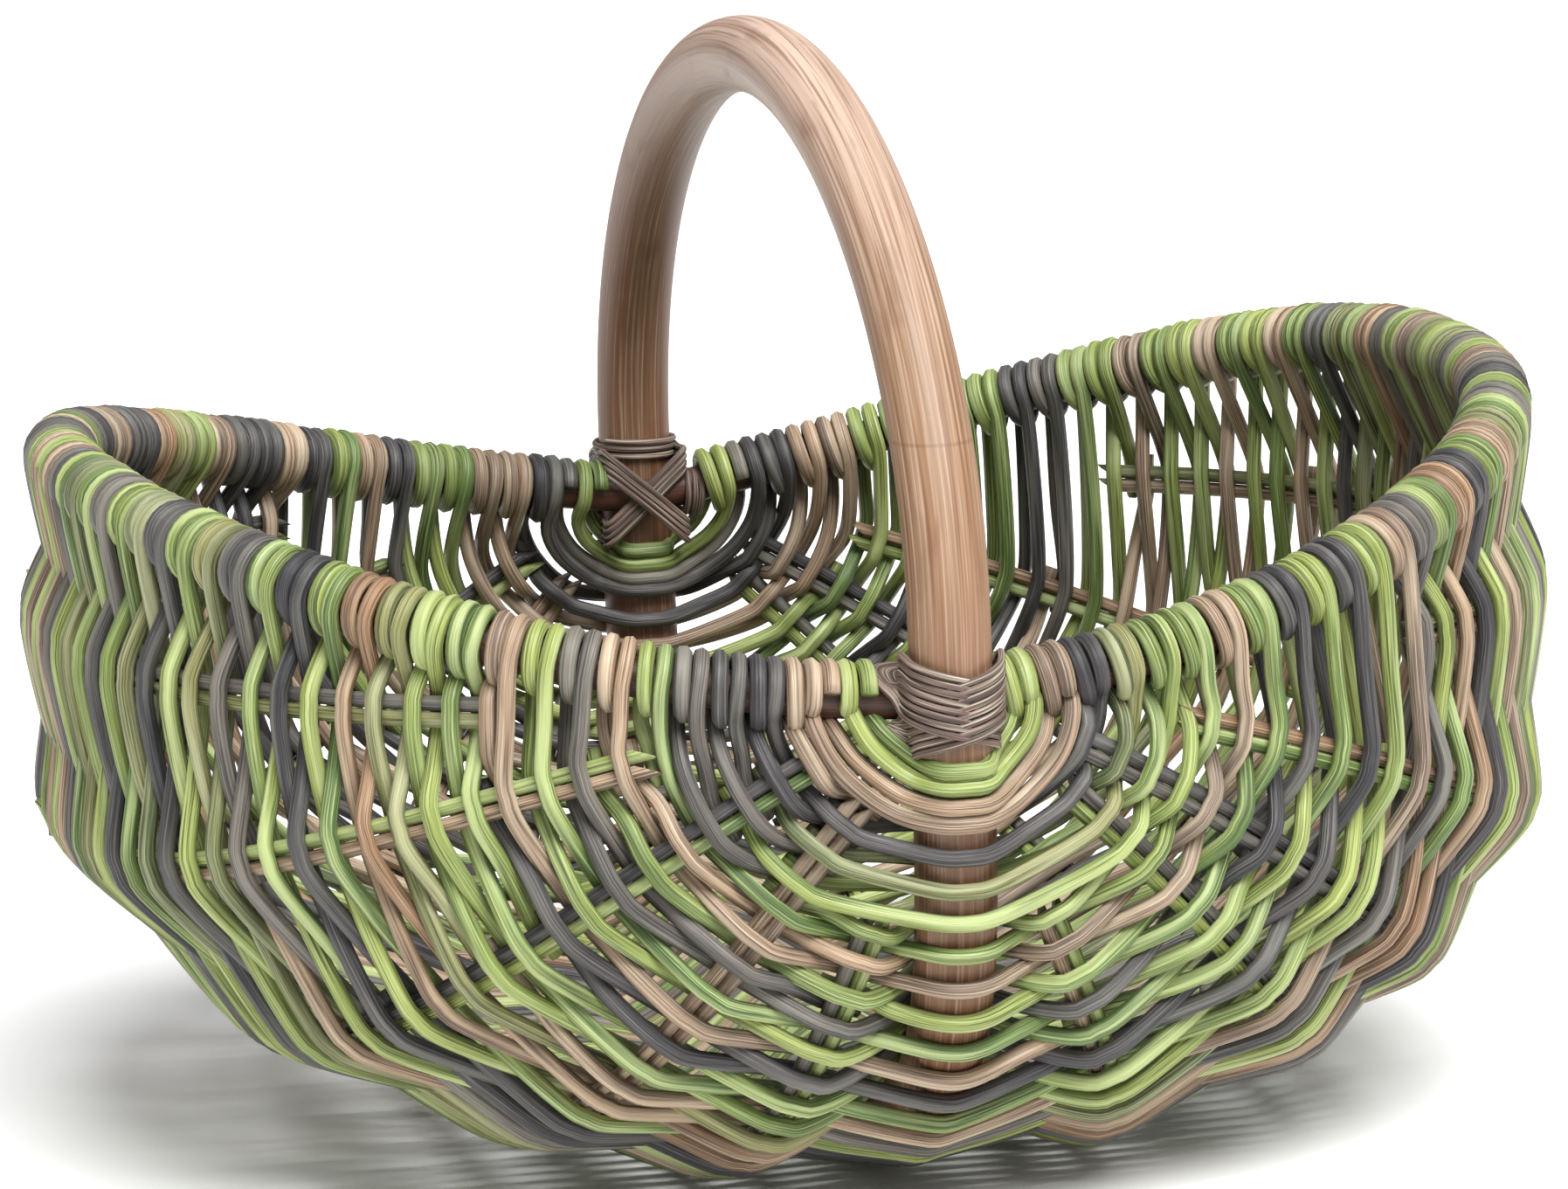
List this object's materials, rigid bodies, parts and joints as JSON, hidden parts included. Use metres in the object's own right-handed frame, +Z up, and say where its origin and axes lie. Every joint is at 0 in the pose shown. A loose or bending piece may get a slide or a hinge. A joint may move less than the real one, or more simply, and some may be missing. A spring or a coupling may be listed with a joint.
{
  "type": "rattan basket",
  "caption": "Saddle-rimmed frame basket of woven rattan cane, with ribs from ear to ear, a rigid arched pole handle that runs on under it as its keel, and a flat rest under the belly.",
  "frame": {"origin": "on the ground below the middle of the basket", "axes": "+X along the long way of the rim to the right, +Y from the front ear to the back ear, +Z up"},
  "size_m": [0.4714, 0.4429, 0.34],
  "materials": {
    "handle_pole": "smooth peeled rattan pole, mid brown with fine darker grain along it, slight sheen",
    "rim_pole": "thin rattan pole, dark red-brown, mostly hidden by the strands round it",
    "cane_green": "stained rattan cane, yellow-green, with fine grooves along it",
    "cane_olive": "stained rattan cane, olive grey-green, with fine grooves along it",
    "cane_charcoal": "stained rattan cane, charcoal with pale streaks along it",
    "cane_grey": "stained rattan cane, warm grey, with fine grooves along it",
    "cane_tan": "rattan cane, tan to taupe, with fine grooves along it",
    "cane_rust": "rattan cane, rust brown, with fine grooves along it",
    "lashing_cane": "thin split cane, dark taupe brown"
  },
  "bodies": {
    "root": {"handle_hoop": "handle_pole", "rim_hoop": "rim_pole", "rib_left_1_upper": "cane_grey", "rib_left_1_lower": "cane_olive", "rib_left_2_upper": "cane_green", "rib_left_2_lower": "cane_tan", "rib_left_3_upper": "cane_charcoal", "rib_left_3_lower": "cane_green", "rib_left_4_upper": "cane_tan", "rib_left_4_lower": "cane_tan", "rib_left_5_upper": "cane_grey", "rib_left_5_lower": "cane_green", "rib_right_5_upper": "cane_green", "rib_right_5_lower": "cane_tan", "rib_right_4_upper": "cane_grey", "rib_right_4_lower": "cane_green", "rib_right_3_upper": "cane_tan", "rib_right_3_lower": "cane_grey", "rib_right_2_upper": "cane_rust", "rib_right_2_lower": "cane_green", "rib_right_1_upper": "cane_olive", "rib_right_1_lower": "cane_tan", "weaver_front_01": "cane_green", "weaver_front_02": "cane_tan", "weaver_front_03": "cane_charcoal", "weaver_front_04": "cane_green", "weaver_front_05": "cane_grey", "weaver_front_06": "cane_green", "weaver_front_07": "cane_tan", "weaver_front_08": "cane_charcoal", "weaver_front_09": "cane_olive", "weaver_front_10": "cane_green", "weaver_back_01": "cane_green", "weaver_back_02": "cane_tan", "weaver_back_03": "cane_charcoal", "weaver_back_04": "cane_green", "weaver_back_05": "cane_grey", "weaver_back_06": "cane_green", "weaver_back_07": "cane_tan", "weaver_back_08": "cane_charcoal", "weaver_back_09": "cane_olive", "weaver_back_10": "cane_green", "front_lashing": "lashing_cane", "back_lashing": "lashing_cane"}
  },
  "joints": []
}
